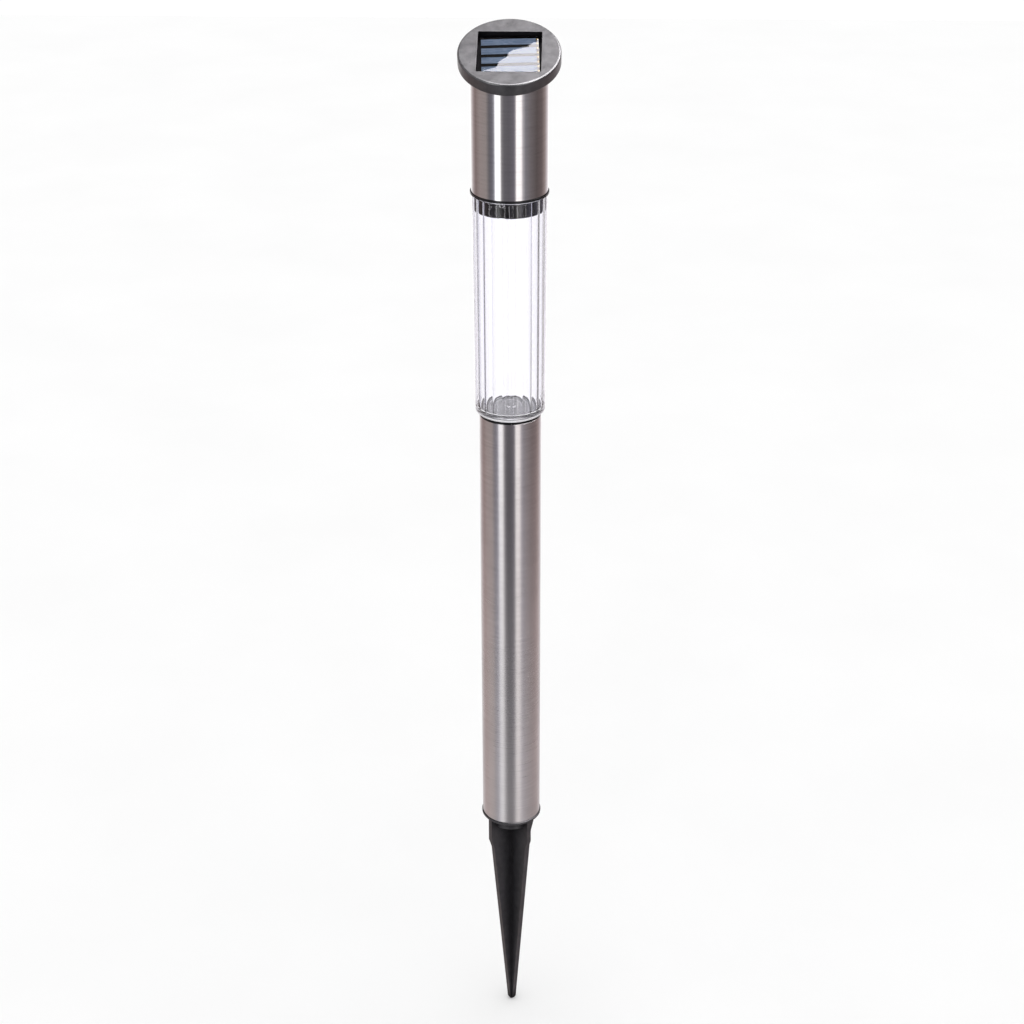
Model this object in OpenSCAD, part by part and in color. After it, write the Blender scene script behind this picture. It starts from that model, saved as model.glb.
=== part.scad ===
// Solar garden light: a ground spike, a steel pole, a clear fluted lens and a steel
// lamp head with a tilted solar cap.
// +Z is up. The origin is the centre of the spike flange's underside, at ground level.
// The solar cap faces -Y and up. Lengths are in millimetres, angles in degrees.

/* [Ground spike] */
// Length of the spike below ground
spike_len = 160; // [120:0.1:180]
// Diameter of the flange that stops the spike at ground level
flange_d = 39.2; // [39:0.1:44]
// Thickness of the flange
flange_t = 2; // [1.5:0.1:3]
// Thickness of each of the two crossed fin plates
fin_t = 3; // [2:0.1:4]
// Angle of the first fin plate about the vertical axis
fin_turn = -48; // [-90:1:90]

/* [Pole] */
// Outside diameter of the pole tube
pole_d = 38; // [37:0.1:39]
// Length of the pole tube
pole_len = 290; // [150:1:400]
// Wall thickness of both steel tubes
tube_wall = 0.5; // [0.4:0.05:0.6]
// Thickness of the coupling's visible rim
coupling_rim_t = 1.6; // [1:0.1:2.5]

/* [Lens] */
// Outside diameter of the lens at its foot
lens_foot_d = 42.8; // [42.4:0.1:43.6]
// Outside diameter of the lens at its top
lens_top_d = 44.4; // [44.2:0.1:45]
// Height of the lens above the coupling
lens_h = 138.3; // [80:0.1:200]
// Number of hollow flutes inside the lens
flute_count = 20; // [16:1:24]
// Depth of the flutes, from the ridges between them
flute_depth = 0.5; // [0.3:0.1:0.8]
// Thickness of the lens floor
lens_floor_t = 3; // [2:0.1:4]

/* [Lamp head] */
// Outside diameter of the head tube
head_d = 45; // [44.8:0.1:45.4]
// Height of the cap's top face above the head tube's lower end, on the axis
head_h = 80.9; // [79:0.1:110]
// Thickness of the housing's visible rim
housing_rim_t = 1.2; // [0.8:0.1:2]
// Angle that the head turns in its bayonet
bayonet_turn = 20; // [10:1:25]

/* [Solar cap] */
// Diameter of the cap
cap_d = 59; // [56:0.5:66]
// Thickness of the cap
cap_t = 8; // [8:0.1:10]
// Tilt of the cap from level
cap_tilt = 25; // [15:1:30]
// Width of the window, from side to side
window_w = 36.5; // [36:0.1:37]
// Length of the window, up the slope
window_l = 35; // [34.6:0.1:36]
// Number of cell strips in the panel
strip_count = 4; // [2:1:4]
// Angle that the panel sits askew in the window
panel_turn = 3; // [0:0.5:3]

/* [Battery] */
// Diameter of the battery
battery_d = 14.5; // [10.5:0.1:14.5]
// Length of the battery, with its raised terminal
battery_l = 50.5; // [44:0.5:50.5]

/* [Hidden] */
$fn = 96;
// cuts run this far past the surfaces they open
cut = 1;
// radial gaps: between parts that move, and between parts pressed together
running_gap = 0.08;
press_gap = 0.05;

// levels up the light
pole_z = flange_t;
coupling_z = pole_z + pole_len;
lens_z = coupling_z + coupling_rim_t;
lens_top_z = lens_z + lens_h;
head_z = lens_top_z + housing_rim_t;
cap_z = head_z + head_h;

// tube bores
pole_bore_r = pole_d / 2 - tube_wall;
head_bore_r = head_d / 2 - tube_wall;

// spike and its spigot
spigot_r = pole_bore_r - running_gap;
spigot_h = 32;
spigot_wall = 1.8;
spigot_chamfer = 1.2;
web_t = 1.6;
web_drop = 4;
flange_chamfer = 0.4;
boss_r = 14.3;
boss_h = 6.5;
flange_r = flange_d / 2;
fin_r = flange_r - 1.1;
fin_straight_h = 16.5;
shoulder_r = 16.2;
shoulder_z = 23.5;
tip_r = 2.5;

// coupling between the pole and the lens
plug_len = 14;
plug_floor_t = 1.8;
socket_r = 16;
lens_spigot_h = 10;
lens_spigot_wall = 2;

// lens
foot_r = lens_foot_d / 2;
top_r = lens_top_d / 2;
foot_round = 3;
rim_chamfer = 0.3;
ridge_r = 18.9;
floor_r = 16.2;
floor_rise = 2.6;
ridge_turn = -83.9;
half_pitch = 180 / flute_count;
// each flute is an arc from ridge to ridge, found from its half chord and its rise
flute_half_chord = ridge_r * sin(half_pitch);
flute_rise = ridge_r + flute_depth - ridge_r * cos(half_pitch);
flute_r = (pow(flute_half_chord, 2) + pow(flute_rise, 2)) / (2 * flute_rise);
flute_centre_r = ridge_r + flute_depth - flute_r;

// bayonet: lugs inside the lens top run in grooves of the housing's collar
lug_count = 3;
lug_turn = -101.5;
lug_w = 2.6;
lug_l = 2.6;
lug_h = 1.6;
lug_drop = 3.3;
lug_r = 17.8;
groove_r = 17.6;
groove_play = 0.6;
lug_top_z = lens_top_z - lug_drop + lug_h;

// seal ring in the rebate of the lens rim
seal_t = 1.2;
seal_r = 20.55;
rebate_r = 20.6;

// lamp housing
collar_r = 18.6;
cavity_r = 16.6;
collar_h = 10.1;
collar_z = lens_top_z - collar_h;
rim_r = head_d / 2 + 0.6;
sleeve_r = head_bore_r - press_gap;
sleeve_wall = 1.6;
sleeve_h = 13;
deck_z = lens_top_z + 2.7;
deck_t = 1.6;
bay_r = battery_d / 2 + 0.25;
bay_wall = 1.2;
post_r = 2.5;
post_ring_r = 13.4;
post_turn = 90;
pilot_r = 1;
wire_hole_r = 1;

// lamp plate, board and the parts on the board
plate_r = cavity_r - 0.1;
plate_inset = 5.1;
plate_z = collar_z + plate_inset;
plate_t = 1.8;
plate_top_z = plate_z + plate_t;
board_r = 15.8;
board_t = 1.6;
board_z = plate_top_z + 2.5;
board_top_z = board_z + board_t;
screw_r = 0.95;
screw_len = 7;
screw_head_r = 1.9;
screw_head_h = 1.2;
led_r = 2.5;
led_rim_r = 2.9;
led_len = 8.6;
led_hole_r = led_r + 0.1;
led_gap = 1.2;
leg_w = 0.5;
leg_pitch = 2.54;
inductor_r = 1.1;
inductor_len = 6;
inductor_y = -9;
lead_r = 0.3;
lead_span = 9.4;
chip_w = 4.6;
chip_l = 3.6;
chip_h = 1.4;
chip_x = 8.5;
chip_y = 2;

// slide switch
switch_y = 8.4;
switch_w = 8.6;
switch_l = 3.6;
switch_h = 2.4;
switch_travel = 2;
carriage_w = 3.6;
carriage_l = 2.3;
carriage_h = 1;
carriage_drop = 0.5;
stem_w = 2;
stem_l = 1.4;
stem_reach = 1.2;
stem_tip_z = plate_z - stem_reach;
slide_play = 0.1;

// battery and its contacts
spring_h = 5.5;
spring_turns = 4;
spring_steps = 12;
spring_r_low = 5.4;
spring_r_high = 2.8;
spring_wire_r = 0.35;
battery_z = board_top_z + spring_h;
nub_r = 2.75;
nub_h = 1;
contact_t = 0.4;
contact_r = 6;
contact_z = battery_z + battery_l;
bay_top_z = contact_z + contact_t;
tab_w = 3;
tab_play = 0.2;
tab_reach = bay_r + bay_wall + 2;
wire_r = 0.6;
battery_wire_x = bay_r + bay_wall + 0.9;

// solar cap, in a frame whose origin is the centre of the cap's top face
cap_r = cap_d / 2;
cap_round = 0.6;
skirt_depth = 7;
skirt_lap = 1;
panel_w = window_w - 3.5;
panel_l = window_l - 2.6;
panel_x = 0.4;
backing_t = 1;
backing_z = -4.6;
strip_w = 31.2;
strip_x = -0.6;
strip_l = 5.2;
strip_pitch = 7.95;
strip_t = 0.3;
strip_z = backing_z + backing_t;
finger_w = 1;
finger_l = 1.5;
finger_t = 0.12;
finger_x = 15.8;
finger_pitch = strip_pitch / 2;
resin_z = strip_z + strip_t;
resin_t = 1;
panel_wire_x = 2.5;
panel_wire_y = -11.5;
long_cut = 60;

// a ring about the Z axis, from z up to z + h
module ring(outer_r, inner_r, z, h) {
    translate([0, 0, z])
        difference() {
            cylinder(r = outer_r, h = h);
            translate([0, 0, -cut])
                cylinder(r = inner_r, h = h + 2 * cut);
        }
}

// a piece of a ring that spans an angle, centred on the X axis
module ring_sector(outer_r, inner_r, z, h, angle) {
    rotate([0, 0, -angle / 2])
        rotate_extrude(angle = angle)
            translate([inner_r, z])
                square([outer_r - inner_r, h]);
}

// a block centred in X and Y, from z up
module block(w, l, h, x = 0, y = 0, z = 0) {
    translate([x - w / 2, y - l / 2, z])
        cube([w, l, h]);
}

// copies spread evenly about the Z axis, the first one at the angle first
module around(count, first = 0) {
    for (i = [0 : count - 1])
        rotate([0, 0, first + i * 360 / count])
            children();
}

// two copies that cross at a right angle on the Z axis
module crossed(turn = 0) {
    for (a = [0, 90])
        rotate([0, 0, turn + a])
            children();
}

// places children in the cap's own frame
module cap_frame() {
    translate([0, 0, cap_z])
        rotate([cap_tilt, 0, 0])
            children();
}

// everything above a level of the cap's own frame
module above_cap_level(level) {
    cap_frame()
        block(2 * long_cut, 2 * long_cut, long_cut, z = level);
}

// places children in the panel's frame, which is turned a little in the cap's frame
module panel_frame() {
    cap_frame()
        translate([panel_x, 0, 0])
            rotate([0, 0, panel_turn])
                children();
}

// outline of one spike plate, with its rounded tip
module fin_outline() {
    tip_z = tip_r - spike_len;
    polygon([
        [-fin_r, flange_t / 2], [-fin_r, -fin_straight_h], [-shoulder_r, -shoulder_z],
        [-tip_r, tip_z], [tip_r, tip_z],
        [shoulder_r, -shoulder_z], [fin_r, -fin_straight_h], [fin_r, flange_t / 2]
    ]);
    translate([0, tip_z])
        circle(r = tip_r);
}

module ground_spike() {
    spigot_top = flange_t + spigot_h;
    spigot_bore = spigot_r - spigot_wall;
    color([0.12, 0.12, 0.13])
        union() {
            rotate_extrude()
                polygon([
                    [0, 0], [flange_r - flange_chamfer, 0], [flange_r, flange_chamfer],
                    [flange_r, flange_t - flange_chamfer], [flange_r - flange_chamfer, flange_t],
                    [spigot_r, flange_t], [spigot_r, spigot_top - spigot_chamfer],
                    [spigot_r - spigot_chamfer, spigot_top], [spigot_bore, spigot_top],
                    [spigot_bore, flange_t], [0, flange_t]
                ]);
            translate([0, 0, -boss_h])
                cylinder(r = boss_r, h = boss_h + flange_t / 2);
            crossed(fin_turn)
                rotate([90, 0, 0])
                    translate([0, 0, -fin_t / 2])
                        linear_extrude(height = fin_t)
                            fin_outline();
            crossed(fin_turn)
                block(2 * spigot_bore + 1, web_t, spigot_h - web_drop + 1, z = flange_t - 1);
        }
}

module pole_tube() {
    color([0.66, 0.63, 0.61])
        ring(pole_d / 2, pole_bore_r, pole_z, pole_len);
}

module pole_coupling() {
    plug_r = pole_bore_r - press_gap;
    color([0.08, 0.08, 0.08])
        difference() {
            union() {
                translate([0, 0, coupling_z])
                    cylinder(r = pole_d / 2, h = coupling_rim_t);
                translate([0, 0, coupling_z - plug_len])
                    cylinder(r = plug_r, h = plug_len + coupling_rim_t / 2);
            }
            translate([0, 0, coupling_z - plug_len + plug_floor_t])
                cylinder(r = socket_r, h = plug_len + coupling_rim_t + cut);
        }
}

// outer form of the lens, with a rounded foot
module lens_form() {
    foot_arc = [
        for (a = [-90 : 15 : 0])
            [foot_r - foot_round + foot_round * cos(a), foot_round + foot_round * sin(a)]
    ];
    translate([0, 0, lens_z])
        rotate_extrude()
            polygon(concat(
                [[0, 0]],
                foot_arc,
                [[top_r, lens_h - rim_chamfer], [top_r - rim_chamfer, lens_h], [0, lens_h]]
            ));
}

// hollow of the lens: a sloped foot, and overlapping flutes around a core above it
module lens_hollow() {
    floor_z = lens_z + lens_floor_t;
    foot_top_r = ridge_r - 0.3;
    foot_lap = 0.2;
    translate([0, 0, floor_z])
        cylinder(r1 = floor_r, r2 = foot_top_r, h = floor_rise + foot_lap);
    translate([0, 0, floor_z + floor_rise])
        linear_extrude(height = lens_h - lens_floor_t - floor_rise + cut)
            union() {
                circle(r = flute_centre_r);
                around(flute_count, ridge_turn + half_pitch)
                    translate([flute_centre_r, 0])
                        circle(r = flute_r);
            }
}

module lens() {
    gate_r = 2.2;
    gate_h = 1;
    color([0.86, 0.86, 0.95, 0.4]) {
        difference() {
            lens_form();
            lens_hollow();
            translate([0, 0, lens_top_z - seal_t])
                cylinder(r = rebate_r, h = seal_t + cut);
        }
        ring(socket_r - running_gap, socket_r - running_gap - lens_spigot_wall,
            lens_z - lens_spigot_h, lens_spigot_h + lens_floor_t / 2);
        translate([0, 0, lens_z + lens_floor_t - gate_h])
            cylinder(r = gate_r, h = 2 * gate_h);
        around(lug_count, lug_turn)
            block(lug_l, lug_w, lug_h, x = lug_r + lug_l / 2, z = lug_top_z - lug_h);
    }
}

module head_seal() {
    color([0.9, 0.9, 0.92])
        ring(seal_r, collar_r + press_gap, lens_top_z - seal_t, seal_t);
}

module head_tube() {
    color([0.7, 0.69, 0.69])
        difference() {
            ring(head_d / 2, head_bore_r, head_z, head_h + long_cut / 2);
            above_cap_level(-cap_t);
        }
}

// groove of one bayonet lug: an open mouth, and a run that the lug turns into
module bayonet_groove() {
    mouth_w = lug_w + groove_play;
    mouth_l = 3;
    mouth_lap = 0.1;
    mouth_z = collar_z - cut;
    lug_half_angle = atan(mouth_w / 2 / groove_r);
    run_z = lug_top_z - lug_h - groove_play / 2;
    run_h = lug_h + groove_play;
    block(mouth_l, mouth_w, run_z + run_h + mouth_lap - mouth_z,
        x = groove_r + mouth_l / 2 - mouth_lap, z = mouth_z);
    rotate([0, 0, -(bayonet_turn + lug_half_angle) / 2])
        ring_sector(collar_r + cut, groove_r, run_z, run_h, bayonet_turn + lug_half_angle);
}

// collar, rim, deck and sleeve of the housing, in section
module housing_section() {
    rim_top = head_z;
    sleeve_bore = sleeve_r - sleeve_wall;
    sleeve_top = head_z + sleeve_h;
    deck_top = deck_z + deck_t;
    polygon([
        [bay_r, deck_z], [cavity_r, deck_z], [cavity_r, collar_z], [collar_r, collar_z],
        [collar_r, lens_top_z], [rim_r, lens_top_z], [rim_r, rim_top], [sleeve_r, rim_top],
        [sleeve_r, sleeve_top], [sleeve_bore, sleeve_top], [sleeve_bore, deck_top],
        [bay_r, deck_top]
    ]);
}

module lamp_housing() {
    bay_outer = bay_r + bay_wall;
    color([0.07, 0.07, 0.08])
        difference() {
            union() {
                rotate_extrude()
                    housing_section();
                translate([0, 0, deck_z])
                    difference() {
                        cylinder(r = bay_outer, h = bay_top_z + bay_wall - deck_z);
                        translate([0, 0, -cut])
                            cylinder(r = bay_r, h = bay_top_z - deck_z + cut);
                    }
                around(3, post_turn)
                    translate([post_ring_r, 0, plate_top_z])
                        cylinder(r = post_r, h = deck_z + deck_t / 2 - plate_top_z);
            }
            around(3, post_turn)
                translate([post_ring_r, 0, plate_top_z - cut])
                    cylinder(r = pilot_r, h = screw_len);
            around(lug_count, lug_turn)
                bayonet_groove();
            for (x = [-panel_wire_x, panel_wire_x])
                translate([x, panel_wire_y, deck_z - cut])
                    cylinder(r = wire_hole_r, h = deck_t + 2 * cut);
            translate([battery_wire_x, 0, deck_z - cut])
                cylinder(r = wire_hole_r, h = deck_t + 2 * cut);
            block(tab_reach, tab_w + 2 * tab_play, contact_t + 2 * tab_play,
                x = tab_reach / 2 + contact_r / 2, z = contact_z - tab_play);
        }
}

module lamp_plate() {
    pillar_r = 1.2;
    pillar_ring_r = 13;
    pillar_turn = post_turn + 60;
    slot_w = stem_w + switch_travel + 0.6;
    slot_l = stem_l + 0.6;
    color([0.09, 0.09, 0.09])
        difference() {
            union() {
                translate([0, 0, plate_z])
                    cylinder(r = plate_r, h = plate_t);
                around(3, pillar_turn)
                    translate([pillar_ring_r, 0, plate_z])
                        cylinder(r = pillar_r, h = board_z - plate_z);
            }
            translate([0, 0, plate_z - cut])
                cylinder(r = led_hole_r, h = plate_t + 2 * cut);
            around(3, post_turn)
                translate([post_ring_r, 0, plate_z - cut])
                    cylinder(r = screw_r + 0.15, h = plate_t + 2 * cut);
            block(slot_w, slot_l, plate_t + 2 * cut, y = switch_y, z = plate_z - cut);
        }
}

module plate_screws() {
    cross_w = 0.5;
    cross_l = 2;
    cross_depth = 0.7;
    color([0.75, 0.75, 0.77])
        around(3, post_turn)
            translate([post_ring_r, 0, plate_z])
                difference() {
                    union() {
                        translate([0, 0, -screw_head_h])
                            cylinder(r = screw_head_r, h = screw_head_h);
                        cylinder(r = screw_r, h = screw_len);
                    }
                    crossed()
                        block(cross_l, cross_w, cross_depth + cut, z = -screw_head_h - cut);
                }
}

module circuit_board() {
    notch_r = post_r + 0.2;
    color([0.05, 0.35, 0.15])
        difference() {
            translate([0, 0, board_z])
                cylinder(r = board_r, h = board_t);
            around(3, post_turn)
                translate([post_ring_r, 0, board_z - cut])
                    cylinder(r = notch_r, h = board_t + 2 * cut);
        }
}

// section of the lamp: a domed body with a rim at its base
module led_section() {
    intersection() {
        union() {
            translate([0, led_r])
                circle(r = led_r);
            translate([0, led_r])
                square([led_r, led_len - led_r]);
            translate([0, led_len - 1])
                square([led_rim_r, 1]);
        }
        square([led_rim_r, led_len]);
    }
}

module led() {
    color([0.95, 0.95, 0.98])
        translate([0, 0, board_z - led_gap - led_len])
            rotate_extrude()
                led_section();
}

module led_legs() {
    color([0.8, 0.8, 0.8])
        for (x = [-leg_pitch / 2, leg_pitch / 2])
            block(leg_w, leg_w, led_gap, x = x, z = board_z - led_gap);
}

module inductor() {
    coil_gap = 0.1;
    lead_bend = 0.4;
    axis_z = board_z - coil_gap - inductor_r;
    color([0.25, 0.55, 0.4])
        union() {
            translate([-inductor_len / 2, inductor_y, axis_z])
                rotate([0, 90, 0])
                    cylinder(r = inductor_r, h = inductor_len);
            for (side = [-1, 1]) {
                translate([side * lead_span / 4, inductor_y, axis_z])
                    rotate([0, 90, 0])
                        cylinder(r = lead_r, h = lead_span / 2 + lead_bend, center = true);
                translate([side * lead_span / 2, inductor_y, axis_z])
                    cylinder(r = lead_r * 0.9, h = board_z - axis_z);
            }
        }
}

module driver_chip() {
    chip_gap = 0.2;
    pin_w = 0.4;
    pin_rise = 0.8;
    pin_pitch = 1.1;
    pin_reach = 1.2;
    color([0.1, 0.1, 0.1])
        union() {
            block(chip_w, chip_l, chip_h, x = chip_x, y = chip_y, z = board_z - chip_gap - chip_h);
            for (i = [-1.5 : 1 : 1.5]) {
                pin_x = chip_x + i * pin_pitch;
                pin_y = chip_y - chip_l / 2 - pin_reach / 2 + pin_w / 2;
                block(pin_w, pin_reach + pin_w, pin_w, x = pin_x, y = pin_y, z = board_z - pin_rise);
                block(pin_w, pin_w, pin_rise, x = pin_x, y = pin_y - pin_reach / 2,
                    z = board_z - pin_rise);
            }
        }
}

module switch_body() {
    room_w = carriage_w + switch_travel + 2 * slide_play;
    room_l = carriage_l + 2 * slide_play;
    room_h = carriage_h + 2 * slide_play;
    slot_w = stem_w + switch_travel + 2 * slide_play;
    slot_l = stem_l + 2 * slide_play;
    body_z = board_z - switch_h;
    color([0.5, 0.5, 0.52])
        difference() {
            block(switch_w, switch_l, switch_h, y = switch_y, z = body_z);
            block(room_w, room_l, room_h, y = switch_y, z = body_z + carriage_drop);
            block(slot_w, slot_l, switch_h / 2 + cut, y = switch_y, z = body_z - cut);
        }
}

// shown in its off position, at the low end of its travel
module switch_slider() {
    off_x = -switch_travel / 2;
    carriage_z = board_z - switch_h + carriage_drop + slide_play;
    color([0.05, 0.05, 0.05])
        union() {
            block(carriage_w, carriage_l, carriage_h, x = off_x, y = switch_y, z = carriage_z);
            block(stem_w, stem_l, carriage_z - stem_tip_z + carriage_h / 2,
                x = off_x, y = switch_y, z = stem_tip_z);
        }
}

module battery() {
    color([0.2, 0.5, 0.25])
        union() {
            translate([0, 0, battery_z])
                cylinder(r = battery_d / 2, h = battery_l - nub_h);
            translate([0, 0, battery_z])
                cylinder(r = nub_r, h = battery_l);
        }
}

// one short stretch of the conical spring, t running from 0 at the board to 1 at the battery
module spring_bead(t) {
    r = spring_r_low + (spring_r_high - spring_r_low) * t;
    end_gap = 0.1;
    rise = spring_h - 2 * spring_wire_r - end_gap;
    bead_t = 0.12;
    rotate([0, 0, 360 * spring_turns * t])
        translate([r, 0, board_top_z + spring_wire_r + rise * t])
            rotate([90, 0, 0])
                cylinder(r = spring_wire_r, h = bead_t, center = true, $fn = 6);
}

module battery_spring() {
    bead_count = spring_turns * spring_steps;
    color([0.8, 0.8, 0.82])
        for (i = [0 : bead_count - 1])
            hull() {
                spring_bead(i / bead_count);
                spring_bead((i + 1) / bead_count);
            }
}

module battery_contact() {
    color([0.8, 0.78, 0.7])
        union() {
            translate([0, 0, contact_z])
                cylinder(r = contact_r, h = contact_t);
            block(tab_reach, tab_w, contact_t, x = tab_reach / 2, z = contact_z);
        }
}

module battery_wire() {
    color([0.7, 0.1, 0.1])
        translate([battery_wire_x, 0, board_top_z])
            cylinder(r = wire_r, h = contact_z - board_top_z);
}

// section of the cap's disc, rounded at its top edge and eased below
module cap_section() {
    ease = 0.5;
    polygon(concat(
        [[0, -cap_t], [cap_r - ease, -cap_t], [cap_r, ease - cap_t]],
        [
            for (a = [0 : 15 : 90])
                [cap_r - cap_round + cap_round * cos(a), -cap_round + cap_round * sin(a)]
        ],
        [[0, 0]]
    ));
}

// ring that plugs into the head tube, cut to the cap's slope at both ends
module cap_skirt() {
    difference() {
        ring(sleeve_r, sleeve_r - sleeve_wall, head_z, head_h + long_cut / 2);
        above_cap_level(skirt_lap - cap_t);
        cap_frame()
            block(2 * long_cut, 2 * long_cut, 3 * long_cut,
                z = -cap_t - skirt_depth - 3 * long_cut);
    }
}

module solar_cap() {
    color([0.16, 0.16, 0.17])
        difference() {
            union() {
                cap_frame()
                    rotate_extrude()
                        cap_section();
                cap_skirt();
            }
            cap_frame()
                block(window_w, window_l, -backing_z + cut, z = backing_z);
            for (x = [-panel_wire_x, panel_wire_x])
                translate([x, panel_wire_y, cap_z - long_cut / 2])
                    cylinder(r = wire_hole_r, h = long_cut / 2);
        }
}

module panel_backing() {
    color([0.06, 0.08, 0.1])
        panel_frame()
            block(panel_w, panel_l, backing_t, z = backing_z);
}

module cell_strips() {
    color([0.1, 0.14, 0.3])
        panel_frame()
            for (i = [0 : strip_count - 1])
                block(strip_w, strip_l, strip_t, x = strip_x,
                    y = (i - (strip_count - 1) / 2) * strip_pitch, z = strip_z);
}

module cell_fingers() {
    finger_count = 2 * strip_count;
    color([0.85, 0.65, 0.3])
        panel_frame()
            for (i = [0 : finger_count - 1])
                block(finger_w, finger_l, finger_t, x = finger_x,
                    y = (i - (finger_count - 1) / 2) * finger_pitch, z = strip_z);
}

module panel_resin() {
    color([0.9, 0.9, 0.95, 0.4])
        panel_frame()
            block(panel_w, panel_l, resin_t, z = resin_z);
}

// a straight lead from the board up to the underside of the panel
module panel_wire(x) {
    difference() {
        translate([x, panel_wire_y, board_top_z])
            cylinder(r = wire_r, h = cap_z - board_top_z);
        above_cap_level(backing_z);
    }
}

module panel_wire_red() {
    color([0.75, 0.08, 0.06])
        panel_wire(panel_wire_x);
}

module panel_wire_black() {
    color([0.05, 0.05, 0.05])
        panel_wire(-panel_wire_x);
}

ground_spike();
pole_tube();
pole_coupling();
lens();
head_seal();
head_tube();
lamp_housing();
lamp_plate();
plate_screws();
circuit_board();
led();
led_legs();
inductor();
driver_chip();
switch_body();
switch_slider();
battery();
battery_spring();
battery_contact();
battery_wire();
solar_cap();
panel_backing();
cell_strips();
cell_fingers();
panel_resin();
panel_wire_red();
panel_wire_black();
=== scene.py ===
"""Looks of the solar garden light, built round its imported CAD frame.

Lengths are in metres. The light stands on +Z, and its solar cap faces -Y and up.
"""

import math

import bpy
from mathutils import Matrix, Vector


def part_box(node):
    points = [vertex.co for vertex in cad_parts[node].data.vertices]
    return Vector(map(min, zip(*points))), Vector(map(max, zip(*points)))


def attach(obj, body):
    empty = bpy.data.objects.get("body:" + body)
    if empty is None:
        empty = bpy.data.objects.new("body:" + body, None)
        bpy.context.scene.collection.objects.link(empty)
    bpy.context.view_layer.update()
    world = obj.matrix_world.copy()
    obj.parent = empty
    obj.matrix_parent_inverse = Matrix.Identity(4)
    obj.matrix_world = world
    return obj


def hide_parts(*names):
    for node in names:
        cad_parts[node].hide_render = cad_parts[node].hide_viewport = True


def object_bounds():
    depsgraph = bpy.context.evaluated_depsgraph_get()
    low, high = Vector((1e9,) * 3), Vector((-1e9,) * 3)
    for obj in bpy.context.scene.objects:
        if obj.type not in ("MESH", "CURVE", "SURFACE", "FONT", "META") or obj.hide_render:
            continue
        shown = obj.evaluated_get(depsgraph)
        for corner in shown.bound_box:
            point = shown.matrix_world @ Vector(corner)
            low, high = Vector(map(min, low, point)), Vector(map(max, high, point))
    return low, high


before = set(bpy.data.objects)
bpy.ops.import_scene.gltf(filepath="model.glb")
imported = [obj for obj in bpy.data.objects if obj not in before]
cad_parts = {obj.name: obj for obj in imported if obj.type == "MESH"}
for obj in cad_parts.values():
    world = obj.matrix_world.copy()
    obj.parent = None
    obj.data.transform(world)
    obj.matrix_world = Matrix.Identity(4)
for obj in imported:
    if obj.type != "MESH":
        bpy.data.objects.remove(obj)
cad_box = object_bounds()

MM = 0.001

# sizes that the CAD boxes don't give
TUBE_WALL, TUBE_LIP = 0.5 * MM, 0.12 * MM
CAP_TILT = math.radians(25)
CAP_T = 8 * MM
CAP_ROUND = 0.6 * MM
WINDOW = Vector((36.5, 35.0)) * MM
PANEL_X = 0.4 * MM
PANEL_TURN = math.radians(3)
STRIP_PITCH = 7.95 * MM
STRIP_T = 0.3 * MM
LENS_FOOT_R = 21.4 * MM
LENS_FLOOR_T = 3.0 * MM
LENS_FLOOR_R = 15.6 * MM
FLUTE_COUNT = 20
FLUTE_RIDGE_R = 18.9 * MM
FLUTE_DEPTH = 0.5 * MM
FLUTE_TURN = math.radians(-83.9)
LUG_COUNT = 3
LUG_TURN = math.radians(-101.5)
LUG_R = 17.8 * MM
LUG_SIZE = Vector((2.6, 2.6, 1.6)) * MM
LUG_DROP = 3.3 * MM
WIRE_HOLE_R = 1.0 * MM
PRESS_GAP = 0.05 * MM
SKIRT_WALL = 1.6 * MM
SKIRT_H = 7 * MM
SOCKET_R = 15.92 * MM
SPIGOT_WALL = 2.0 * MM
REBATE_R, REBATE_H = 20.6 * MM, 1.2 * MM


def low(node):
    """Lowest corner of a CAD node's box."""
    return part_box(node)[0]


def high(node):
    """Highest corner of a CAD node's box."""
    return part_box(node)[1]


def local_box(node, place):
    """Lowest and highest corner of a CAD node in another frame."""
    inverse = place.inverted()
    points = [inverse @ v.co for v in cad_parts[node].data.vertices]
    return (
        Vector([min(p[k] for p in points) for k in range(3)]),
        Vector([max(p[k] for p in points) for k in range(3)]),
    )


# ---------------------------------------------------------------- mesh helpers

def mesh_object(name, verts, faces, material, sharp=35):
    """A smooth-shaded object whose edges over the sharp angle stay crisp."""
    mesh = bpy.data.meshes.new(name)
    mesh.from_pydata([tuple(v) for v in verts], [], faces)
    mesh.validate()
    mesh.shade_smooth()
    mesh.set_sharp_from_angle(angle=math.radians(sharp))
    mesh.materials.append(material)
    obj = bpy.data.objects.new(name, mesh)
    bpy.context.scene.collection.objects.link(obj)
    return obj


def between(a, b, share):
    """A ring part of the way from ring a to ring b. Either may be a pole."""
    count = max(len(a), len(b))
    return [a[i % len(a)].lerp(b[i % len(b)], share) for i in range(count)]


def held(rings, closed):
    """Adds rings close to both ends of each long stretch, so that flat parts shade flat."""
    hold = 0.06 * MM
    out = []
    stretches = list(zip(rings, rings[1:])) + ([(rings[-1], rings[0])] if closed else [])
    for a, b in stretches:
        out.append(a)
        gap = max((a[i % len(a)] - b[i % len(b)]).length for i in range(max(len(a), len(b))))
        if gap > 12 * hold:
            out += [between(a, b, hold / gap), between(a, b, 1 - hold / gap)]
    return out if closed else out + [rings[-1]]


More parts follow.
